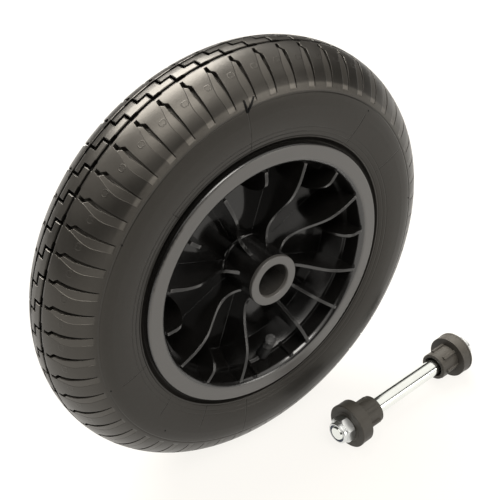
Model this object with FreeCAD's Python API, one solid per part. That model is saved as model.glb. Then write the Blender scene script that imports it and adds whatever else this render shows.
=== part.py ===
import FreeCAD, Part
import math
import os

# Pneumatic barrow wheel, size 3.50-8, with its axle set lying beside it.
# Millimetres. The origin is the middle of the hub bore, the wheel turns about Y,
# its front face looks along -Y, and +Z is up. The wheel stands on the flat of its tyre.

# Tyre
tyre_diameter = 372.0
tyre_width = 79.4
flat_depth = 1.0
wall_thickness = 6.2
neck_gap = 0.4
cheek_diameter = 241.0
cheek_width = 71.0
neck_round = 0.45
waist_diameter = 264.0
waist_width = 77.2
bead_width = 8.0
bead_height = 10.0
bead_play = 0.2
cavity_shift = 0.6
cavity_side_angle = 85.0
cavity_hip_angle = 128.0
tread_pitches = 56
tread_phase = 1.2
tread_depth = 5.0
shoulder_angle = 70.0
groove_end_depth = 0.9
shoulder_groove_start = 11.0
shoulder_groove_end = 37.2
shoulder_groove_width = 3.0
shoulder_groove_shift = 2.0
groove_jog = 1.9
groove_jog_start = 4.0
groove_jog_end = 6.6
groove_straight_start = 13.0
groove_start_taper = 0.85
groove_end_taper = 0.25
ring_groove_offset = 7.6
ring_groove_width = 1.8
centre_slot_width = 2.2
centre_slot_step = 8.6
foot_width = 3.0
foot_length = 6.6

# Wheel centre
bead_seat_diameter = 203.2
rim_width = 63.5
flange_thickness = 6.5
flange_diameter = 232.4
flange_edge_radius = 2.6
lip_diameter = 199.4
lip_radius = 6.0
barrel_wall = 3.6
step_depth = 17.0
step_height = 3.0
step_draft = 0.5
web_thickness = 5.0
web_diameter = 172.0
well_diameter = 183.0
well_flat = 16.0
well_top_width = 37.0
hub_diameter = 45.2
hub_length = 82.0
bore_diameter = 30.0
bore_chamfer = 0.6
hub_bevel = 0.5
root_fillet = 3.0

# Ribs of the wheel centre
rib_count = 8
rib_phase = 161.4
rib_thickness = 2.8
rib_sink = 0.3
rib_root = 1.0
rib_root_depth = 3.3
rib_flat_diameter = 184.0
rib_shoulder_diameter = 160.0
rib_shoulder_depth = 1.0
rib_slope_diameter = 140.0
rib_slope_depth = 3.6
rib_middle_diameter = 112.0
rib_middle_depth = 11.6
rib_valley_diameter = 78.0
rib_valley_depth = 19.6
rib_hub_depth = 14.5
gusset_flat_diameter = 184.0
gusset_shoulder_diameter = 172.0
gusset_shoulder_depth = 2.5
gusset_middle_diameter = 162.0
gusset_middle_depth = 9.0
gusset_shin_diameter = 154.0
gusset_shin_depth = 19.0
gusset_foot_diameter = 150.0
rib_foot_inset = 15.0
pocket_angle = 11.2
pocket_wall_top_diameter = 194.0
pocket_wall_foot_diameter = 187.0

# Tube and valve
tube_play = 0.3
tube_wall = 2.2
tube_floor_height = 1.5
tube_corner = 1.5
valve_tilt = 27.0
valve_radius_at_wall = 95.0
valve_depth_at_wall = 19.5
valve_hole_diameter = 11.6
sleeve_diameter = 11.0
sleeve_length = 16.5
sleeve_top_diameter = 9.6
stem_diameter = 7.7
stem_bore_diameter = 4.9
stem_length = 27.2
stem_root = 10.0
cap_diameter = 9.8
cap_length = 11.5
cap_over_stem = 1.8
cap_top_wall = 1.4
cap_play = 0.15
cap_ring_depth = 0.5
cap_ring_edge = 0.7
cap_ring_width = 1.2
cap_ridges = 16
cap_ridge_radius = 0.28
cap_ridge_end = 1.0
hole_reach_out = 14.0
hole_reach_in = 6.0
core_length = 8.0
core_sink = 0.4
core_play = 0.1
core_bore_diameter = 2.2
pin_diameter = 1.6
pin_length = 18.0
pin_sink = 0.3
plunger_diameter = 3.4
plunger_length = 2.0
seal_length = 1.6
small_gap = 0.1

# Axle set
rod_diameter = 16.0
thread_diameter = 14.0
rod_chamfer = 1.6
face_distance = 158.0
running_play = 0.05
end_play = 0.2
tip_length = 0.6
nut_flats = 22.0
nut_hex_height = 9.0
nut_collar_height = 4.0
nut_collar_diameter = 20.6
nut_collar_bevel = 0.8
nut_collar_round = 1.0
nut_chamfer = 1.6
thread_play = 0.05
nylon_diameter = 17.6
nylon_height = 2.6
collar_lip = 0.7
collar_lip_diameter = 16.9
flange_disc_diameter = 42.0
flange_disc_thickness = 2.4
face_ring_diameter = 31.0
face_ring_width = 1.0
face_ring_height = 0.15
drum_diameter = 41.4
bush_shoulder_length = 12.9
bush_length = 35.1
nose_diameter = 26.6
nose_mouth_diameter = 20.4
nose_mouth_depth = 9.0
fin_count = 6
fin_play = 0.15
fin_width = 3.2
fin_length = 16.8
fin_turn = 31.0
fin_root_depth = 3.0
bush_edge = 0.5
# Where the axle set lies: the outer face of the near bush, and the way to the far one
axle_x = 53.7
axle_y = -84.6
axle_heading = 2.8

# Worked out from the sizes above
tyre_radius = tyre_diameter / 2
half_width = tyre_width / 2
floor_z = flat_depth - tyre_radius
half_rim = rim_width / 2
rim_face = half_rim + flange_thickness
bead_seat_radius = bead_seat_diameter / 2
flange_radius = flange_diameter / 2
lip_inner_radius = lip_diameter / 2
section_radius = half_width
section_centre = tyre_radius - section_radius
cavity_radius = section_radius - wall_thickness
cavity_centre = section_centre - cavity_shift
bore_radius = bore_diameter / 2
rod_radius = rod_diameter / 2
thread_radius = thread_diameter / 2
nut_length = nut_hex_height + nut_collar_height
full_middle_rib = 3
valve_sector = 2
rib_pitch = 360.0 / rib_count
valve_angle = rib_phase + (valve_sector + 0.5) * rib_pitch
past = 1.0

X_AXIS = FreeCAD.Vector(1, 0, 0)
Y_AXIS = FreeCAD.Vector(0, 1, 0)
Z_AXIS = FreeCAD.Vector(0, 0, 1)
ORIGIN = FreeCAD.Vector(0, 0, 0)


def vec(radius, y, z=0.0):
    return FreeCAD.Vector(radius, y, z)


# A revolved solid from an outline of points and three-point arcs in the radius-width plane
def outline(start, steps):
    edges = []
    here = vec(*start)
    for step in steps:
        if len(step) == 2:
            there = vec(*step)
            edges.append(Part.LineSegment(here, there).toShape())
        else:
            there = vec(step[2], step[3])
            edges.append(Part.Arc(here, vec(step[0], step[1]), there).toShape())
        here = there
    return Part.Face(Part.Wire(edges))


def spun(start, steps):
    return outline(start, steps).revolve(ORIGIN, Y_AXIS, 360)


# The same shape turned to an angle of the wheel, counted from +X towards +Z
def at_angle(shape, degrees):
    turned = shape.copy()
    turned.rotate(ORIGIN, FreeCAD.Vector(0, -1, 0), degrees)
    return turned


def mirrored(shape):
    return shape.mirror(ORIGIN, Y_AXIS)


# A point on a circle round (centre, 0) of the tyre's section: 0 is the crown, 90 the side
def section_point(centre, radius, degrees, side):
    a = math.radians(degrees)
    return (centre + radius * math.cos(a), side * radius * math.sin(a))


# Outer shape of the tyre, with solid inside, from bead heel to bead heel
def tyre_blank():
    heel = bead_seat_radius + bead_play
    inner = half_rim - bead_play
    neck = flange_radius + neck_gap
    cheek = (cheek_diameter / 2, cheek_width / 2)
    waist = (waist_diameter / 2, waist_width / 2)
    fillet = (neck + neck_round * (cheek[0] - neck), inner + neck_round ** 2 * (cheek[1] - inner))
    side = section_point(section_centre, section_radius, 90, 1)
    shoulder = section_point(section_centre, section_radius, 45, 1)
    right = [
        (neck, inner),
        fillet + cheek,
        waist + side,
        shoulder + (tyre_radius, 0.0),
    ]
    left = [
        (shoulder[0], -shoulder[1], side[0], -side[1]),
        (waist[0], -waist[1], cheek[0], -cheek[1]),
        (fillet[0], -fillet[1], neck, -inner),
        (heel, -inner),
        (heel, inner),
    ]
    return spun((heel, inner), right + left)


# The space inside the tyre, over the beads and down to the well, drawn in by an offset
def cavity(offset, floor_radius):
    radius = cavity_radius - offset
    toe = half_rim - bead_play - bead_width - offset
    bead_top = bead_seat_radius + bead_height + offset
    hip = section_point(cavity_centre, radius, cavity_hip_angle, 1)
    side = section_point(cavity_centre, radius, cavity_side_angle, 1)
    hip_m = (hip[0], -hip[1])
    side_m = (side[0], -side[1])
    crown = (cavity_centre + radius, 0.0)
    steps = [
        (bead_top, toe),
        hip,
        side + crown,
        side_m + hip_m,
        (bead_top, -toe),
        (floor_radius, -toe),
        (floor_radius, toe),
    ]
    return spun((floor_radius, toe), steps)


# What the tread's grooves leave standing: deep below the crown, almost out at the shoulders
def tread_floor():
    deep = tyre_radius - tread_depth
    low = section_centre - past
    edge = section_point(section_centre, section_radius - groove_end_depth, shoulder_angle, 1)
    out = (edge[0] - past, half_width + past)
    corners = [vec(out[0], -out[1]), vec(low, -out[1]), vec(low, out[1]), vec(*out), vec(*edge)]
    edges = []
    for a, b in zip(corners[:-1], corners[1:]):
        edges.append(Part.LineSegment(a, b).toShape())
    edges.append(Part.Arc(vec(*edge), vec(deep, 0.0), vec(edge[0], -edge[1])).toShape())
    edges.append(Part.LineSegment(vec(edge[0], -edge[1]), corners[0]).toShape())
    return Part.Face(Part.Wire(edges)).revolve(ORIGIN, Y_AXIS, 360)


# A straight block through the tread over an outline of points (across the tread, round it)
def tread_prism(points):
    low = section_centre
    corners = [vec(low, y, z) for y, z in points]
    face = Part.Face(Part.makePolygon(corners + corners[:1]))
    return face.extrude(FreeCAD.Vector(tyre_radius + past - low, 0, 0))


# A long groove over the near shoulder: a jog near its inner end, then a taper
def shoulder_groove():
    start = -shoulder_groove_start
    w = shoulder_groove_width / 2
    stations = [
        (start, 0.6 * groove_jog, groove_start_taper * w),
        (start - groove_jog_start, groove_jog, w),
        (start - groove_jog_end, -0.4 * groove_jog, w),
        (start - groove_straight_start, 0.1 * groove_jog, w),
        (-shoulder_groove_end, 0.0, groove_end_taper * w),
    ]
    there = [(y, z + half) for y, z, half in stations]
    back = [(y, z - half) for y, z, half in reversed(stations)]
    return tread_prism(there + back)


# A slot from one ring groove to the other, stepping aside at the crown, with a wider foot at each
def centre_slot():
    y0 = ring_groove_offset
    w = centre_slot_width / 2
    z0 = centre_slot_step / 2
    foot = foot_width / 2
    near = [
        (-y0 - foot, w - z0),
        (-y0 - foot, -z0 - foot_length),
        (foot - y0, -z0 - foot_length),
        (foot - y0, -z0 - w),
        (w, -z0 - w),
        (w, z0 - w),
    ]
    far = [(-y, -z) for y, z in near]
    return tread_prism(near + far)


# A groove all the way round, at one side of the crown
def ring_groove(side):
    y0 = side * ring_groove_offset - ring_groove_width / 2
    y1 = y0 + ring_groove_width
    low = section_centre
    high = tyre_radius + past
    return spun((low, y0), [(high, y0), (high, y1), (low, y1), (low, y0)])


def make_tyre():
    tyre = tyre_blank().cut(cavity(0.0, bead_seat_radius - past))
    pitch = 360.0 / tread_pitches
    floor = tread_floor()
    near = at_angle(shoulder_groove(), -shoulder_groove_shift).cut(floor)
    far = near.copy()
    far.rotate(ORIGIN, X_AXIS, 180)
    slot = centre_slot().cut(floor)
    cutters = [ring_groove(-1).cut(floor), ring_groove(1).cut(floor)]
    for n in range(tread_pitches):
        for cut in (near, far, slot):
            cutters.append(at_angle(cut, tread_phase + n * pitch))
    tyre = tyre.cut(cutters)
    size = tyre_radius
    below = Part.makeBox(2 * size, 2 * size, size, FreeCAD.Vector(-size, -size, floor_z - size))
    return tyre.cut(below)


# A quarter bend round a centre: the arc's middle and end, in the radius-width plane
def bend(centre, radius, middle_degrees, end_degrees):
    m = math.radians(middle_degrees)
    e = math.radians(end_degrees)
    middle = (centre[0] + radius * math.cos(m), centre[1] + radius * math.sin(m))
    end = (centre[0] + radius * math.cos(e), centre[1] + radius * math.sin(e))
    return middle + end


# The wheel centre's barrel, with its two flanges and a solid disc for the web to cut into
def barrel():
    seat = bead_seat_radius
    edge = flange_edge_radius
    inner = seat - barrel_wall
    step_y = rim_face - step_depth
    web = web_thickness / 2
    well = well_diameter / 2
    foot = web_diameter / 2
    top = well_top_width / 2
    flat = well_flat / 2
    lip = lip_radius
    outer_bend = (flange_radius - edge, rim_face - edge)
    inner_bend = (lip_inner_radius + lip, rim_face - lip)
    outer_bend_m = (outer_bend[0], -outer_bend[1])
    inner_bend_m = (inner_bend[0], -inner_bend[1])
    steps = [
        (seat, half_rim),
        (flange_radius, half_rim),
        (flange_radius, rim_face - edge),
        bend(outer_bend, edge, 45, 90),
        (inner_bend[0], rim_face),
        bend(inner_bend, lip, 135, 180),
        (inner, step_y),
        (inner - step_height, step_y - step_draft),
        (foot, web),
        (foot, -web),
        (inner - step_height, step_draft - step_y),
        (inner, -step_y),
        (lip_inner_radius, lip - rim_face),
        bend(inner_bend_m, lip, 225, 270),
        (outer_bend[0], -rim_face),
        bend(outer_bend_m, edge, 315, 360),
        (flange_radius, -half_rim),
        (seat, -half_rim),
        (seat, -top),
        (well, -flat),
        (well, flat),
        (seat, top),
    ]
    return spun((seat, top), steps)


def hub_and_web():
    web = web_thickness / 2
    hub = hub_diameter / 2
    end = hub_length / 2
    foot = web_diameter / 2 + past
    round_y = web + root_fillet
    middle = root_fillet * (1.0 - math.sqrt(0.5))
    steps = [
        (hub - hub_bevel, -end),
        (hub, hub_bevel - end),
        (hub, -round_y),
        (hub + middle, -web - middle, hub + root_fillet, -web),
        (foot, -web),
        (foot, web),
        (hub + root_fillet, web),
        (hub + middle, web + middle, hub, round_y),
        (hub, end - hub_bevel),
        (hub - hub_bevel, end),
        (0.0, end),
        (0.0, -end),
    ]
    return spun((0.0, -end), steps)


def plate(face, thickness):
    solid = face.extrude(FreeCAD.Vector(0, 0, thickness))
    solid.translate(FreeCAD.Vector(0, 0, -thickness / 2))
    return solid


# The sunk top of a rib beside the lip: where it meets the lip's round, and where it starts inwards
def rib_top():
    outer = lip_inner_radius + 0.8 * rib_root
    dip = vec(outer, rib_root_depth - rim_face)
    flush = vec(lip_inner_radius, rib_sink - rim_face)
    return dip, flush


# A flat rib's face under a smooth edge through points, from the lip inwards, closed by its foot
def ribbed(points, foot):
    dip, flush = rib_top()
    curve = Part.BSplineCurve()
    curve.interpolate(points)
    corners = [points[-1]] + foot + [dip, flush, points[0]]
    edges = [curve.toShape()]
    for a, b in zip(corners[:-1], corners[1:]):
        edges.append(Part.LineSegment(a, b).toShape())
    return plate(Part.Face(Part.Wire(edges)), rib_thickness)


# Where every rib stands: on the web, inside the barrel's slope, and on the barrel's step
def rib_foot():
    return [
        vec(lip_inner_radius - rib_foot_inset, 0.0),
        vec(lip_inner_radius + rib_root, step_depth - rim_face),
    ]


# A long rib on the front: flush at the lip, dipping towards the hub, then rising on the hub tube
def long_rib():
    stations = [
        (rib_flat_diameter, rib_sink),
        (rib_shoulder_diameter, rib_shoulder_depth),
        (rib_slope_diameter, rib_slope_depth),
        (rib_middle_diameter, rib_middle_depth),
        (rib_valley_diameter, rib_valley_depth),
        (hub_diameter, rib_hub_depth),
    ]
    points = [vec(diameter / 2, depth - rim_face) for diameter, depth in stations]
    hub = hub_diameter / 2 - past
    return ribbed(points, [vec(hub, rib_hub_depth - rim_face), vec(hub, 0.0)] + rib_foot())


# A short gusset from the lip down to the web, half way between two long ribs
def gusset():
    stations = [
        (gusset_flat_diameter, rib_sink),
        (gusset_shoulder_diameter, gusset_shoulder_depth),
        (gusset_middle_diameter, gusset_middle_depth),
        (gusset_shin_diameter, gusset_shin_depth),
        (gusset_foot_diameter, rim_face - web_thickness / 2),
    ]
    points = [vec(diameter / 2, depth - rim_face) for diameter, depth in stations]
    return ribbed(points, [vec(gusset_foot_diameter / 2, 0.0)] + rib_foot())


# One of the two low walls beside the valve, which end on the barrel's step
def pocket_wall():
    dip, flush = rib_top()
    foot_y = rib_sink + step_depth - rim_face
    corners = [
        dip,
        flush,
        vec(pocket_wall_top_diameter / 2, rib_sink - rim_face),
        vec(pocket_wall_foot_diameter / 2, foot_y),
        vec(lip_inner_radius + rib_root, foot_y),
    ]
    return plate(Part.Face(Part.makePolygon(corners + corners[:1])), rib_thickness)


def front_ribs():
    ribs = []
    for n in range(rib_count):
        ribs.append(at_angle(long_rib(), rib_phase + n * rib_pitch))
        middle = rib_phase + (n + 0.5) * rib_pitch
        if n == full_middle_rib:
            ribs.append(at_angle(long_rib(), middle))
        elif n == valve_sector:
            ribs.append(at_angle(pocket_wall(), middle - pocket_angle))
            ribs.append(at_angle(pocket_wall(), middle + pocket_angle))
        else:
            ribs.append(at_angle(gusset(), middle))
    return ribs


def back_ribs():
    ribs = []
    for n in range(rib_count):
        ribs.append(at_angle(mirrored(long_rib()), rib_phase + n * rib_pitch))
        ribs.append(at_angle(mirrored(gusset()), rib_phase + (n + 0.5) * rib_pitch))
    return ribs


def hub_bore():
    end = hub_length / 2
    r = bore_radius
    c = bore_chamfer
    steps = [
        (0.0, end + past),
        (r + c + past, end + past),
        (r, end - c),
        (r, c - end),
        (r + c + past, -end - past),
        (0.0, -end - past),
    ]
    return spun((0.0, -end - past), steps)


# Puts a shape made along +Z, with z = 0 on the barrel's inner wall, on the valve's axis
def on_valve_axis(shape):
    tilt = math.radians(valve_tilt)
    inward = FreeCAD.Vector(-math.cos(tilt), -math.sin(tilt), 0)
    placed = shape.copy()
    turn = FreeCAD.Rotation(Z_AXIS, inward)
    base = vec(valve_radius_at_wall, -valve_depth_at_wall)
    placed.Placement = FreeCAD.Placement(base, turn)
    return at_angle(placed, valve_angle)


def rod_along_z(radius, z0, z1):
    return Part.makeCylinder(radius, z1 - z0, vec(0, 0, z0))


def make_rim():
    rim = barrel().fuse([hub_and_web()] + front_ribs() + back_ribs())
    hole = on_valve_axis(rod_along_z(valve_hole_diameter / 2, -hole_reach_out, hole_reach_in))
    return rim.cut([hub_bore(), hole]).removeSplitter()


# The part of the tube that fills the rim's well, drawn in by an offset from the rim
def tube_belly(offset, corner):
    low = well_diameter / 2 + offset
    seat = bead_seat_radius + offset
    high = bead_seat_radius + tube_play + tube_wall + tube_floor_height
    flat = well_flat / 2 - corner / 3
    top = well_top_width / 2 - corner
    steps = [(low, flat), (seat, top), (high, top), (high, -top), (seat, -top), (low, -flat)]
    return spun((low, -flat), steps)


# The tube with the valve's rubber sleeve moulded on it
def make_inner_tube():
    inside = tube_play + tube_wall
    outer = cavity(tube_play, bead_seat_radius + tube_play + tube_floor_height)
    inner = cavity(inside, bead_seat_radius + inside + tube_floor_height)
    belly = tube_belly(tube_play, tube_corner)
    hollow = tube_belly(inside, tube_corner + tube_wall)
    skin = outer.fuse(belly).cut(inner.fuse(hollow))
    root = Part.makeCone(sleeve_diameter / 2, sleeve_top_diameter / 2, sleeve_length)
    shank = rod_along_z(sleeve_diameter / 2, -stem_root, 0.0)
    sleeve = on_valve_axis(shank.fuse(root))
    bore = (stem_diameter + small_gap) / 2
    passage = on_valve_axis(rod_along_z(bore, -2 * stem_root, sleeve_length + past))
    return skin.fuse(sleeve).cut(passage).removeSplitter()


def make_valve_stem():
    tube = rod_along_z(stem_diameter / 2, -stem_root, stem_length)
    bore = rod_along_z(stem_bore_diameter / 2, -stem_root - past, stem_length + past)
    return on_valve_axis(tube.cut(bore))


def core_bottom():
    return stem_length - core_length


def make_valve_core():
    body = rod_along_z(stem_bore_diameter / 2 - core_play, core_bottom(), stem_length - core_sink)
    bore = rod_along_z(core_bore_diameter / 2, 0.0, stem_length + past)
    return on_valve_axis(body.cut(bore))


def make_core_seal():
    top = core_bottom() - small_gap
    ring = rod_along_z(stem_bore_diameter / 2 - core_play, top - seal_length, top)
    bore = rod_along_z((pin_diameter + small_gap) / 2, 0.0, stem_length)
    return on_valve_axis(ring.cut(bore))


def make_core_pin():
    plunger_top = core_bottom() - 2 * small_gap - seal_length
    top = stem_length - pin_sink
    pin = rod_along_z(pin_diameter / 2, top - pin_length, top)
    plunger = rod_along_z(plunger_diameter / 2, plunger_top - plunger_length, plunger_top)
    return on_valve_axis(pin.fuse(plunger))


def make_valve_cap():
    top = stem_length + cap_over_stem
    mouth = top - cap_length
    radius = cap_diameter / 2
    inside = rod_along_z(stem_diameter / 2 + cap_play, mouth - past, top - cap_top_wall)
    ring = radius - cap_ring_edge
    recess = rod_along_z(ring, top - cap_ring_depth, top + past)
    recess = recess.cut(rod_along_z(ring - cap_ring_width, top - past, top + 2 * past))
    grooves = []
    for n in range(cap_ridges):
        a = 2 * math.pi * n / cap_ridges
        spot = vec(radius * math.cos(a), radius * math.sin(a), mouth - past)
        grooves.append(Part.makeCylinder(cap_ridge_radius, cap_length - cap_ridge_end, spot))
    body = rod_along_z(radius, mouth, top)
    return on_valve_axis(body.cut([inside, recess] + grooves))


# Puts a shape made along +X, with x = 0 on the near bush's outer face, where the axle set lies
def on_axle(shape):
    placed = shape.copy()
    height = floor_z + flange_disc_diameter / 2
    turn = FreeCAD.Rotation(Z_AXIS, axle_heading)
    base = FreeCAD.Vector(axle_x, axle_y, height)
    placed.Placement = FreeCAD.Placement(base, turn).multiply(placed.Placement)
    return placed


def bar(radius, x0, x1):
    return Part.makeCylinder(radius, x1 - x0, vec(x0, 0.0), X_AXIS)


def cone(radius0, radius1, x0, x1):
    return Part.makeCone(radius0, radius1, x1 - x0, vec(x0, 0.0), X_AXIS)


# The same shape at the far end of the axle, facing the other way
def far_end(shape):
    other = shape.copy()
    other.rotate(ORIGIN, Z_AXIS, 180)
    other.translate(FreeCAD.Vector(face_distance, 0, 0))
    return other


def make_axle_rod():
    shoulder = -end_play
    tip = shoulder - nut_length - tip_length
    half = bar(rod_radius, shoulder, face_distance / 2)
    thread = bar(thread_radius, tip + rod_chamfer, shoulder)
    point = cone(thread_radius - rod_chamfer * 0.7, thread_radius, tip, tip + rod_chamfer)
    half = half.fuse([thread, point])
    return half.fuse(far_end(half)).removeSplitter()


def hexagon(flats, x0, x1):
    corner = flats / math.sqrt(3)
    points = []
    for n in range(7):
        a = math.radians(60 * n + 30)
        points.append(vec(x0, corner * math.cos(a), corner * math.sin(a)))
    return Part.Face(Part.makePolygon(points)).extrude(FreeCAD.Vector(x1 - x0, 0, 0))


# A lock nut: a hexagon with both faces' corners rounded off, and a collar that holds a nylon ring
def make_nut():
    base = -end_play
    hex_top = base - nut_hex_height
    top = base - nut_length
    flat = nut_flats / 2
    corner = nut_flats / math.sqrt(3) + 0.01
    middle = bar(corner, hex_top + nut_chamfer, base - nut_chamfer)
    cone_out = cone(flat, corner, hex_top, hex_top + nut_chamfer)
    cone_in = cone(corner, flat, base - nut_chamfer, base)
    body = hexagon(nut_flats, hex_top, base).common(middle.fuse([cone_out, cone_in]))
    collar_radius = nut_collar_diameter / 2
    collar = bar(collar_radius, top + nut_collar_round, hex_top + nut_chamfer)
    collar_edge = cone(collar_radius - nut_collar_bevel, collar_radius, top, top + nut_collar_round)
    seat_start = top + collar_lip
    seat = bar(nylon_diameter / 2 + thread_play, seat_start, seat_start + nylon_height + thread_play)
    lip_hole = bar(collar_lip_diameter / 2, top - past, seat_start)
    hole = bar(thread_radius + thread_play, top - past, base + past)
    return body.fuse([collar, collar_edge]).cut([seat, lip_hole, hole]).removeSplitter()


def make_nylon_ring():
    top = -end_play - nut_length + collar_lip
    ring = bar(nylon_diameter / 2, top, top + nylon_height)
    return ring.cut(bar(thread_radius + thread_play / 2, top - past, top + nylon_height + past))


# The fins that centre the bush's nose in the hub bore, starting at the drum
def bush_fins():
    reach = bore_radius - fin_play
    root = nose_diameter / 2 - fin_root_depth
    around = bar(reach, 0.0, bush_length)
    fins = []
    for n in range(fin_count):
        corner = vec(bush_shoulder_length, -fin_width / 2, root)
        fin = Part.makeBox(fin_length, fin_width, reach - root, corner)
        fin.rotate(ORIGIN, X_AXIS, fin_turn + 360.0 * n / fin_count)
        fins.append(fin.common(around))
    return fins


def make_bush():
    disc_radius = flange_disc_diameter / 2
    nose_radius = nose_diameter / 2
    nose_end = bush_length - bush_edge
    disc_edge = cone(disc_radius - bush_edge, disc_radius, 0.0, bush_edge)
    disc = bar(disc_radius, bush_edge, flange_disc_thickness)
    drum = bar(drum_diameter / 2, flange_disc_thickness, bush_shoulder_length)
    nose = bar(nose_radius, bush_shoulder_length, nose_end)
    nose_edge = cone(nose_radius, nose_radius - bush_edge, nose_end, bush_length)
    body = drum.fuse([disc, disc_edge, nose, nose_edge] + bush_fins())
    hole = bar(rod_radius + running_play, -past, bush_length + past)
    mouth = bar(nose_mouth_diameter / 2, bush_length - nose_mouth_depth, bush_length + past)
    ring_radius = face_ring_diameter / 2
    ring = bar(ring_radius, -past, face_ring_height)
    ring = ring.cut(bar(ring_radius - face_ring_width, -past, face_ring_height))
    return body.cut([hole, mouth, ring]).removeSplitter()


def save(name, shape):
    solids = shape.Solids
    body = solids[0] if len(solids) == 1 else Part.makeCompound(solids)
    body.exportStep("parts/" + name + ".step")


os.makedirs("parts", exist_ok=True)
save("tyre", make_tyre())
save("inner_tube", make_inner_tube())
save("rim", make_rim())
save("valve_stem", make_valve_stem())
save("valve_core", make_valve_core())
save("core_seal", make_core_seal())
save("core_pin", make_core_pin())
save("valve_cap", make_valve_cap())
save("axle_rod", on_axle(make_axle_rod()))
save("nut_near", on_axle(make_nut()))
save("nut_far", on_axle(far_end(make_nut())))
save("nylon_ring_near", on_axle(make_nylon_ring()))
save("nylon_ring_far", on_axle(far_end(make_nylon_ring())))
save("bush_near", on_axle(make_bush()))
save("bush_far", on_axle(far_end(make_bush())))
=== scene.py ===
import math

import bpy
from mathutils import Euler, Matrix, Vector


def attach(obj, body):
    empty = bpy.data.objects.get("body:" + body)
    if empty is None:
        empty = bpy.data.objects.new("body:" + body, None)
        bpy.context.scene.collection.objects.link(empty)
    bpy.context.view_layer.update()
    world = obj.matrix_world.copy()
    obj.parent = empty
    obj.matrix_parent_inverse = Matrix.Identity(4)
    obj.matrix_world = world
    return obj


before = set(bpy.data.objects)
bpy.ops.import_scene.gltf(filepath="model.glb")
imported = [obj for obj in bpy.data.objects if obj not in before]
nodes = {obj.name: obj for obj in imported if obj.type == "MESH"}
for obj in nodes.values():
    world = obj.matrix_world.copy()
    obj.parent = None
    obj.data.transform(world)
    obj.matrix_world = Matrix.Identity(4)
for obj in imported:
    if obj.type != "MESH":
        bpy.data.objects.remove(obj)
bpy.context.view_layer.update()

FLOOR_Z = -0.185    # metres
WHITE = (1.0, 1.0, 1.0)
WARM_LIGHT = (1.0, 0.97, 0.92)

# The tyre. Lengths are in mm, and angles in degrees run from +X towards +Z.
CROWN_R = 186.0
SECTION_R = 146.3     # the circle that the middle of the tyre's section runs on
SECTION = 39.7        # the radius of the section
PITCH = 360.0 / 56    # the tread repeats 56 times
TREAD_PHASE = 1.2
GROOVE_SHIFT = 2.0
GROOVE_START = 13.0   # the shoulder grooves run from here to GROOVE_END, measured from the middle plane
GROOVE_END = 37.0
CHANNEL_Y = 7.6
TREAD_R = 157.0       # where the side wall ends and the raised tread begins
# the radii of the smooth band that gets a painted highlight towards the top
PAINTED_HIGHLIGHT_BAND = (157.4, 163.0)
LUG_MARK_Y = 24.0
LUG_MARK_R = 1.5
LIP_RING_R = 121.6
BEAD_RINGS_R = (125.6, 129.4)
PARTING_R = 156.4
# each seam of the side wall: its angle, its inner and its outer radius
SEAMS = ((99.2, 119.0, 155.0), (133.0, 119.0, 131.0), (53.0, 123.0, 149.0), (29.2, 126.0, 156.0),
         (193.0, 123.0, 146.0), (215.6, 121.0, 139.0), (237.0, 121.0, 140.0), (258.3, 121.0, 156.0))
# each vent pip: its angle and its radius
PIPS = ((80.7, 139.0), (72.3, 128.0), (52.3, 153.0), (7.4, 156.0), (355.5, 133.0), (183.6, 124.0),
        (177.3, 140.0), (192.4, 155.0), (222.7, 149.0), (146.3, 156.0))
# the two moulding whiskers share a root, given by angle and radius; each tip by angle and place across
WHISKER_ROOT = (99.2, 154.8)
WHISKER_TIPS = ((99.15, -35.9), (96.17, -36.1))

# The rim, in mm from the axle and from the middle plane
HUB_FACE_R = 24.0
FLANGE_FACE_R = 97.0
FACE_Y = 37.4
BORE_R = 15.3


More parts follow.
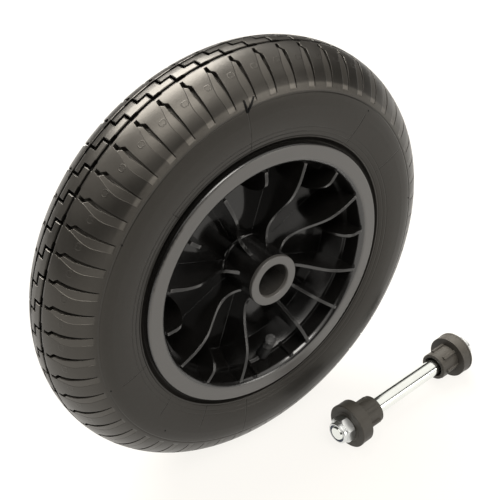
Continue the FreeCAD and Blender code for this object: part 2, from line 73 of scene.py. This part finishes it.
# Node helpers: every argument may be a number or a socket
class Shader:
    def __init__(self, name):
        self.mat = bpy.data.materials.new(name)
        self.mat.use_nodes = True
        self.tree = self.mat.node_tree
        self.tree.nodes.clear()
        self.out = self.tree.nodes.new("ShaderNodeOutputMaterial")
        self.bsdf = self.tree.nodes.new("ShaderNodeBsdfPrincipled")
        self.tree.links.new(self.bsdf.outputs[0], self.out.inputs[0])
        coord = self.tree.nodes.new("ShaderNodeTexCoord")
        self.pos = coord.outputs["Object"]
        split = self.tree.nodes.new("ShaderNodeSeparateXYZ")
        self.tree.links.new(self.vec_scale(self.pos, 1000.0), split.inputs[0])
        self.x, self.y, self.z = split.outputs

    def put(self, socket, value):
        if isinstance(value, bpy.types.NodeSocket):
            self.tree.links.new(value, socket)
        else:
            socket.default_value = value

    def vec_scale(self, v, k):
        n = self.tree.nodes.new("ShaderNodeVectorMath")
        n.operation = "SCALE"
        self.put(n.inputs[0], v)
        self.put(n.inputs["Scale"], k)
        return n.outputs[0]

    def m(self, op, a, b=0.0, c=0.0):
        n = self.tree.nodes.new("ShaderNodeMath")
        n.operation = op
        self.put(n.inputs[0], a)
        self.put(n.inputs[1], b)
        self.put(n.inputs[2], c)
        return n.outputs[0]

    def add(self, a, b):
        return self.m("ADD", a, b)

    def sub(self, a, b):
        return self.m("SUBTRACT", a, b)

    def mul(self, a, b):
        return self.m("MULTIPLY", a, b)

    def ramp(self, v, lo, hi, to_lo=0.0, to_hi=1.0):
        n = self.tree.nodes.new("ShaderNodeMapRange")
        n.interpolation_type = "SMOOTHSTEP"
        for socket, value in zip(n.inputs[:5], (v, lo, hi, to_lo, to_hi)):
            self.put(socket, value)
        return n.outputs[0]

    def band(self, v, lo, hi, soft):
        """1 between two values, with soft ends."""
        return self.mul(self.ramp(v, lo - soft, lo + soft), self.ramp(v, hi - soft, hi + soft, 1.0, 0.0))

    def line(self, v, at, half):
        """1 at one value, falling to 0 at a distance of half a width."""
        return self.ramp(self.m("ABSOLUTE", self.sub(v, at)), 0.0, half, 1.0, 0.0)

    def repeat(self, v):
        """Degrees from the middle of the nearest pitch of the tread."""
        return self.sub(self.m("FLOORED_MODULO", self.add(v, PITCH / 2), PITCH), PITCH / 2)

    def radius(self):
        """The distance from the axle in mm."""
        return self.m("SQRT", self.add(self.mul(self.x, self.x), self.mul(self.z, self.z)))

    def noise(self, scale, detail=3.0, rough=0.5, vector=None):
        n = self.tree.nodes.new("ShaderNodeTexNoise")
        self.put(n.inputs["Vector"], vector if vector is not None else self.pos)
        n.inputs["Scale"].default_value = scale
        n.inputs["Detail"].default_value = detail
        n.inputs["Roughness"].default_value = rough
        return n.outputs["Fac"]

    def mix(self, fac, a, b):
        n = self.tree.nodes.new("ShaderNodeMix")
        n.data_type = "RGBA"
        self.put(n.inputs[0], fac)
        self.put(n.inputs[6], a)
        self.put(n.inputs[7], b)
        return n.outputs[2]

    def grey(self, value, tint=WHITE):
        n = self.tree.nodes.new("ShaderNodeCombineColor")
        for i in range(3):
            self.put(n.inputs[i], self.mul(value, tint[i]))
        return n.outputs[0]

    def bump(self, height_mm, strength, normal):
        n = self.tree.nodes.new("ShaderNodeBump")
        n.inputs["Strength"].default_value = strength
        n.inputs["Distance"].default_value = 0.001
        self.put(n.inputs["Height"], height_mm)
        self.put(n.inputs["Normal"], normal)
        return n.outputs[0]

    def across(self, v):
        """How far a direction points along the axle, from 0 to 1."""
        n = self.tree.nodes.new("ShaderNodeSeparateXYZ")
        self.tree.links.new(v, n.inputs[0])
        return self.m("ABSOLUTE", n.outputs[1])

    def bevel(self, radius):
        n = self.tree.nodes.new("ShaderNodeBevel")
        n.samples = 4
        n.inputs["Radius"].default_value = radius
        return n.outputs[0]

    def set(self, **values):
        """Sets the surface's sockets, with a low line for each space in a socket's name."""
        for name, value in values.items():
            self.put(self.bsdf.inputs[name.replace("_", " ")], value)
        return self.mat


def smooth(obj, degrees=35.0):
    for poly in obj.data.polygons:
        poly.use_smooth = True
    obj.data.set_sharp_from_angle(angle=math.radians(degrees))


def paint(obj, mat):
    obj.data.materials.clear()
    obj.data.materials.append(mat)


# Materials
def shoulder_strip(s, ang, side, ay, r):
    """The strip beside each shoulder groove, and the degrees from the nearest groove."""
    # the far side is the near side turned round
    turned = s.add(s.mul(s.mul(side, -1.0), s.sub(ang, TREAD_PHASE)), GROOVE_SHIFT)
    delta = s.repeat(turned)
    wide = s.add(s.ramp(ay, GROOVE_START, 30.0, 0.95, 2.5), s.ramp(ay, 30.0, GROOVE_END, 0.0, -0.35))
    starts = s.ramp(ay, GROOVE_START - 0.5, GROOVE_START + 1.5)
    ends = s.ramp(ay, GROOVE_END, GROOVE_END + 0.6, 1.0, 0.0)
    outer = s.mul(s.mul(starts, ends), s.ramp(r, 150.0, 155.0))
    beside = s.mul(s.ramp(delta, -0.05, 0.05), s.ramp(s.sub(delta, wide), -0.08, 0.08, 1.0, 0.0))
    return s.mul(beside, outer), delta


def crown_slots(s, ang, side, ay, r):
    """The channels round the crown and the stepped slots between them, over one pitch."""
    round_mm = s.mul(s.repeat(s.sub(ang, TREAD_PHASE)), math.radians(CROWN_R))
    flip = s.mul(round_mm, side)
    channel = s.line(ay, CHANNEL_Y, 2.2)
    foot = s.mul(s.band(ay, CHANNEL_Y - 1.8, CHANNEL_Y + 1.8, 0.25), s.band(flip, 2.9, 11.3, 0.25))
    leg = s.mul(s.band(ay, -1.0, CHANNEL_Y + 0.4, 0.25), s.band(flip, 2.8, 5.8, 0.25))
    cross = s.mul(s.band(ay, -1.0, 1.4, 0.2), s.band(s.m("ABSOLUTE", round_mm), -1.0, 5.4, 0.25))
    slots = s.m("MAXIMUM", s.m("MAXIMUM", channel, foot), s.m("MAXIMUM", leg, cross))
    return s.mul(slots, s.ramp(r, CROWN_R - 10.0, CROWN_R - 6.0))


def wall_seams(s, ang, r):
    """The mould's seams across the near side wall."""
    seams = 0.0
    for at, low, high in SEAMS:
        seam = s.line(s.mul(s.sub(ang, at), 2.4), 0.0, 0.55)
        seams = s.add(seams, s.mul(seam, s.mul(s.band(r, low, high, 1.0), s.ramp(s.y, 0.0, -1.0))))
    return seams


def wall_rings(s, r):
    """The rings round the bead and the parting line at the end of the side wall."""
    rings = s.line(r, LIP_RING_R, 0.9)
    rings = s.add(rings, s.mul(s.line(r, PARTING_R, 0.7), 0.8))
    for at in BEAD_RINGS_R:
        rings = s.add(rings, s.mul(s.line(r, at, 0.7), 0.6))
    return rings


def lug_marks(s, delta, ay):
    """A small ring in the middle of each shoulder lug."""
    along = s.mul(s.sub(s.m("ABSOLUTE", delta), 2.9), 3.0)
    apart = s.m("SQRT", s.add(s.m("POWER", along, 2.0), s.m("POWER", s.sub(ay, LUG_MARK_Y), 2.0)))
    return s.line(apart, LUG_MARK_R, 0.45)


def tyre_material():
    s = Shader("tyre rubber")
    r = s.radius()
    ang = s.m("FLOORED_MODULO", s.mul(s.m("ARCTAN2", s.z, s.x), 180.0 / math.pi), 360.0)
    side = s.m("SIGN", s.y)
    ay = s.m("ABSOLUTE", s.y)
    strip, delta = shoulder_strip(s, ang, side, ay, r)
    slots = crown_slots(s, ang, side, ay, r)
    seams = wall_seams(s, ang, r)
    rings = wall_rings(s, r)
    fine = s.noise(420.0, 4.0, 0.6)
    broad = s.noise(22.0, 3.0, 0.55)

    height = s.mul(strip, -0.5)
    height = s.add(height, s.mul(s.ramp(r, TREAD_R, TREAD_R + 0.6), 0.45))
    height = s.add(height, s.mul(slots, -0.8))
    height = s.add(height, s.mul(seams, -0.4))
    height = s.add(height, s.mul(rings, -0.35))
    height = s.add(height, s.mul(fine, 0.05))
    height = s.add(height, s.mul(broad, 0.25))
    height = s.add(height, s.mul(lug_marks(s, delta, ay), 0.12))

    value = s.add(0.011, s.mul(s.sub(broad, 0.5), 0.01))
    # painted highlight: the strip beside each shoulder groove is a real lowered chamfer, and it is also
    # made lighter to stand in for the light it catches
    value = s.add(value, s.mul(strip, 0.016))
    value = s.add(value, s.mul(s.sub(fine, 0.5), 0.008))
    # the side wall is a shade darker than the tread
    value = s.mul(value, s.ramp(r, 150.0, 165.0, 0.86, 1.0))
    # painted highlight: the smooth band under the grooves is made lighter towards the top, where the
    # overhead light catches it
    painted_band_highlight = s.mul(s.band(r, *PAINTED_HIGHLIGHT_BAND, 1.0), s.ramp(s.z, 60.0, 150.0))
    value = s.mul(value, s.add(1.0, s.mul(painted_band_highlight, 3.2)))
    # painted shade: the crown slots, the seams and the rings are darkened as if shade lay in them
    painted_recess_shade = s.m("MAXIMUM", slots, s.mul(s.m("MAXIMUM", seams, rings), 0.7))
    value = s.mul(value, s.sub(1.0, s.mul(painted_recess_shade, 0.85)))
    return s.set(
        Base_Color=s.grey(value, (1.0, 0.93, 0.83)),
        Roughness=s.ramp(broad, 0.3, 0.7, 0.30, 0.40),
        IOR=1.5,
        Specular_IOR_Level=s.ramp(r, 150.0, 168.0, 0.36, 0.6),
        Specular_Tint=(1.0, 0.94, 0.85, 1.0),
        Normal=s.bump(height, 0.8, s.bevel(0.0007)),
    )


def rim_material():
    s = Shader("rim plastic")
    r = s.radius()
    ay = s.m("ABSOLUTE", s.y)
    fine = s.noise(600.0, 3.0, 0.6)
    broad = s.noise(16.0, 3.0, 0.5)
    dust = s.noise(90.0, 5.0, 0.65)
    # the faces that stand forward are duller than the web deep inside
    front = s.ramp(ay, 8.0, 26.0)
    flange = s.ramp(r, FLANGE_FACE_R, FLANGE_FACE_R + 5.0)
    hub = s.ramp(r, HUB_FACE_R, HUB_FACE_R - 1.0)
    matte_face_painted_lit = s.mul(s.ramp(ay, FACE_Y, FACE_Y + 0.7), s.m("MAXIMUM", flange, hub))
    # painted light: the flat front faces of the flange and the hub get a far lighter colour than the same
    # plastic in the recessed web, standing in for the web lying in shade; the same mask also makes these
    # faces rougher
    value = s.add(0.004, s.mul(matte_face_painted_lit, 0.046))
    # painted light: the bore wall is made lighter, as if light reached into it
    value = s.add(value, s.mul(s.ramp(r, BORE_R, BORE_R + 0.3, 1.0, 0.0), 0.03))
    value = s.add(value, s.mul(s.ramp(dust, 0.5, 0.8), s.mul(front, 0.004)))
    rough = s.add(s.ramp(front, 0.0, 1.0, 0.1, 0.22), s.mul(matte_face_painted_lit, 0.14))
    rough = s.add(rough, s.mul(s.sub(dust, 0.5), 0.04))
    height = s.add(s.mul(fine, s.ramp(front, 0.0, 1.0, 0.002, 0.012)), s.mul(broad, 0.08))
    # flat parts that face forward, such as the tops of the ribs, are dull, and round edges catch the light
    rounded = s.bevel(0.0007)
    dull = s.mul(s.ramp(s.across(rounded), 0.9, 0.99), s.sub(1.0, matte_face_painted_lit))
    return s.set(
        Base_Color=s.grey(value, (1.0, 0.94, 0.87)),
        Roughness=rough,
        IOR=1.68,
        Specular_IOR_Level=s.sub(0.55, s.mul(dull, 0.3)),
        Normal=s.bump(height, 1.0, rounded),
    )


def plain_rubber():
    s = Shader("tube rubber")
    n = s.noise(150.0)
    return s.set(
        Base_Color=s.grey(s.add(0.005, s.mul(n, 0.005))),
        Roughness=s.ramp(n, 0.3, 0.7, 0.45, 0.6),
        IOR=1.35,
        Normal=s.bump(s.mul(n, 0.1), 0.6, s.bevel(0.0004)),
    )


def whisker_rubber():
    s = Shader("whisker rubber")
    n = s.noise(200.0)
    return s.set(
        Base_Color=s.grey(s.add(0.003, s.mul(n, 0.003))),
        Roughness=s.ramp(n, 0.3, 0.7, 0.7, 0.85),
        IOR=1.2,
    )


def cap_plastic():
    s = Shader("cap plastic")
    n = s.noise(300.0)
    return s.set(
        Base_Color=s.grey(s.add(0.008, s.mul(n, 0.006))),
        Roughness=s.ramp(n, 0.3, 0.7, 0.14, 0.22),
        IOR=1.6,
        Normal=s.bump(s.mul(n, 0.03), 0.6, s.bevel(0.0018)),
    )


def bush_plastic():
    s = Shader("bush plastic")
    n = s.noise(160.0, 4.0, 0.6)
    b = s.noise(40.0, 2.0)
    value = s.add(0.045, s.mul(s.sub(b, 0.5), 0.018))
    return s.set(
        Base_Color=s.grey(value, (1.0, 0.91, 0.77)),
        Roughness=s.ramp(n, 0.3, 0.7, 0.42, 0.56),
        IOR=1.36,
        Normal=s.bump(s.add(s.mul(n, 0.05), s.mul(b, 0.1)), 0.7, s.bevel(0.0006)),
    )


def steel(name, value, tint, rough, scratch, round_edge):
    s = Shader(name)
    n = s.noise(500.0, 3.0)
    b = s.noise(60.0, 3.0)
    along = s.noise(1.0, 2.0, 0.5, vector=s.vec_scale(s.pos, 900.0))
    v = s.add(value, s.mul(s.sub(b, 0.5), 0.12))
    return s.set(
        Base_Color=s.grey(v, tint),
        Metallic=1.0,
        Roughness=s.add(rough, s.mul(s.sub(b, 0.5), 0.1)),
        Normal=s.bump(s.add(s.mul(n, scratch), s.mul(along, scratch)), 0.5, s.bevel(round_edge)),
    )


def nylon():
    s = Shader("nylon blue")
    n = s.noise(200.0)
    return s.set(
        Base_Color=s.mix(n, (0.012, 0.018, 0.05, 1.0), (0.03, 0.045, 0.1, 1.0)),
        Roughness=0.4,
        Normal=s.bump(s.mul(n, 0.04), 0.6, s.bevel(0.0003)),
    )


TYRE = tyre_material()
RIM = rim_material()
RUBBER = plain_rubber()
WHISKER = whisker_rubber()
CAP = cap_plastic()
BUSH = bush_plastic()
BRASS = steel("valve brass", 0.62, (1.0, 0.78, 0.42), 0.3, 0.01, 0.0002)
ROD = steel("axle steel", 0.88, (0.97, 1.0, 0.97), 0.14, 0.004, 0.0004)
ZINC = steel("nut zinc", 0.72, (0.98, 1.0, 1.0), 0.3, 0.006, 0.0003)
NYLON = nylon()

LOOKS = {
    "tyre": TYRE, "inner_tube": RUBBER, "rim": RIM, "valve_stem": BRASS, "valve_core": BRASS,
    "core_seal": RUBBER, "core_pin": BRASS, "valve_cap": CAP, "axle_rod": ROD, "nut_near": ZINC,
    "nut_far": ZINC, "nylon_ring_near": NYLON, "nylon_ring_far": NYLON, "bush_near": BUSH, "bush_far": BUSH,
}
for name, look in LOOKS.items():
    paint(nodes[name], look)
    smooth(nodes[name])


# Moulding whiskers and vent pips on the tyre
def on_tyre(angle, y=None, r=None, lift=0.0):
    """A point of the tyre's outer section (mm) at an angle, from its place across or its radius."""
    if y is None:
        across = math.acos(max(-1.0, min(1.0, (r - SECTION_R) / SECTION)))
    else:
        across = math.asin(max(-1.0, min(1.0, -y / SECTION)))
    rr = SECTION_R + (SECTION + lift) * math.cos(across)
    yy = -(SECTION + lift) * math.sin(across)
    a = math.radians(angle)
    return Vector((rr * math.cos(a), yy, rr * math.sin(a))) / 1000.0


def mesh_object(name, verts, faces, mat, body):
    mesh = bpy.data.meshes.new(name)
    mesh.from_pydata(verts, [], faces)
    obj = bpy.data.objects.new(name, mesh)
    bpy.context.scene.collection.objects.link(obj)
    paint(obj, mat)
    for poly in mesh.polygons:
        poly.use_smooth = True
    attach(obj, body)


def hair(verts, faces, points, r0, r1, sides=6):
    """Adds a thin closed tube along some points, from one radius to the other."""
    start = len(verts)
    for i, p in enumerate(points):
        q = points[min(i + 1, len(points) - 1)] - points[max(i - 1, 0)]
        q.normalize()
        u = q.orthogonal().normalized()
        v = q.cross(u)
        r = r0 + (r1 - r0) * i / (len(points) - 1)
        for k in range(sides):
            turn = 2 * math.pi * k / sides
            verts.append(p + (u * math.cos(turn) + v * math.sin(turn)) * r)
    for i in range(len(points) - 1):
        for k in range(sides):
            a = start + i * sides + k
            b = start + i * sides + (k + 1) % sides
            faces.append((a, b, b + sides, a + sides))
    faces.append(tuple(range(start, start + sides))[::-1])
    end = start + (len(points) - 1) * sides
    faces.append(tuple(range(end, end + sides)))


def moulding_whiskers():
    verts, faces = [], []
    for tip_angle, tip_y in WHISKER_TIPS:
        root = on_tyre(WHISKER_ROOT[0], r=WHISKER_ROOT[1], lift=-0.3)
        tip = on_tyre(tip_angle, y=tip_y, lift=0.4)
        middle = (root + tip) / 2 + Vector((0.0, -0.0006, 0.0))
        hair(verts, faces, [root, middle, tip], 0.0011, 0.0006)
    mesh_object("moulding_whiskers", verts, faces, WHISKER, "wheel_and_axle")


def vent_pips():
    verts, faces = [], []
    for angle, r in PIPS:
        foot = on_tyre(angle, r=r, lift=-0.5)
        top = on_tyre(angle, r=r, lift=0.15)
        hair(verts, faces, [foot, (foot + top * 3) / 4, top], 0.0008, 0.0006, 10)
    mesh_object("vent_pips", verts, faces, WHISKER, "wheel_and_axle")


moulding_whiskers()
vent_pips()


# Floor, light and camera
def floor_material():
    s = Shader("floor")
    n = s.noise(2.0)
    s.set(Base_Color=s.grey(s.add(0.07, s.mul(n, 0.01)), (1.0, 0.985, 0.96)), Roughness=0.9,
          Emission_Color=(1.0, 0.975, 0.93, 1.0), Emission_Strength=0.9)
    s.bsdf.inputs["Specular IOR Level"].default_value = 0.0
    return s.mat


def lay_floor(half):
    corners = [(x * half, y * half, FLOOR_Z) for x, y in ((-1, -1), (1, -1), (1, 1), (-1, 1))]
    mesh = bpy.data.meshes.new("floor")
    mesh.from_pydata(corners, [], [(0, 1, 2, 3)])
    floor = bpy.data.objects.new("floor", mesh)
    bpy.context.scene.collection.objects.link(floor)
    paint(floor, floor_material())


def studio_dome():
    """A dome that is dim at the horizon and bright overhead."""
    world = bpy.data.worlds.new("studio")
    bpy.context.scene.world = world
    world.use_nodes = True
    tree = world.node_tree
    dome = tree.nodes["Background"]
    dome.inputs[0].default_value = (*WARM_LIGHT, 1.0)
    coord = tree.nodes.new("ShaderNodeTexCoord")
    split = tree.nodes.new("ShaderNodeSeparateXYZ")
    tree.links.new(coord.outputs["Generated"], split.inputs[0])
    rise = tree.nodes.new("ShaderNodeMapRange")
    rise.interpolation_type = "SMOOTHSTEP"
    for socket, value in zip(rise.inputs[1:5], (0.42, 0.62, 0.04, 1.1)):
        socket.default_value = value
    tree.links.new(split.outputs[2], rise.inputs[0])
    tree.links.new(rise.outputs[0], dome.inputs[1])


def soft_sun(name, energy, degrees, towards):
    """A wide sun that stands in a direction, and shines from there."""
    lamp = bpy.data.lights.new(name, "SUN")
    lamp.energy = energy
    lamp.angle = math.radians(degrees)
    lamp.color = WARM_LIGHT
    obj = bpy.data.objects.new(name, lamp)
    obj.rotation_euler = Vector(towards).to_track_quat("Z", "Y").to_euler()
    bpy.context.scene.collection.objects.link(obj)


lay_floor(6.0)
studio_dome()
soft_sun("overhead", 9.0, 50, (0.0, 0.6, 1.0))
soft_sun("front top", 1.8, 30, (-0.1, -0.5, 1.0))
soft_sun("front right", 0.5, 20, (0.55, -0.83, 0.2))

# degrees that the camera looks down, and that it is turned from +Y towards +X
CAMERA_DOWN = 34.33
CAMERA_TURN = 37.74
cam = bpy.data.cameras.new("camera")
cam.lens = 59.04
cam.sensor_width = 36.0
cam.clip_start = 0.01
cam_obj = bpy.data.objects.new("camera", cam)
cam_obj.location = (-0.33897, -0.44740, 0.39126)
cam_obj.rotation_euler = Euler((math.radians(90.0 - CAMERA_DOWN), 0.0, math.radians(-CAMERA_TURN)))
bpy.context.scene.collection.objects.link(cam_obj)
bpy.context.scene.camera = cam_obj
bpy.context.scene.view_settings.view_transform = "Standard"
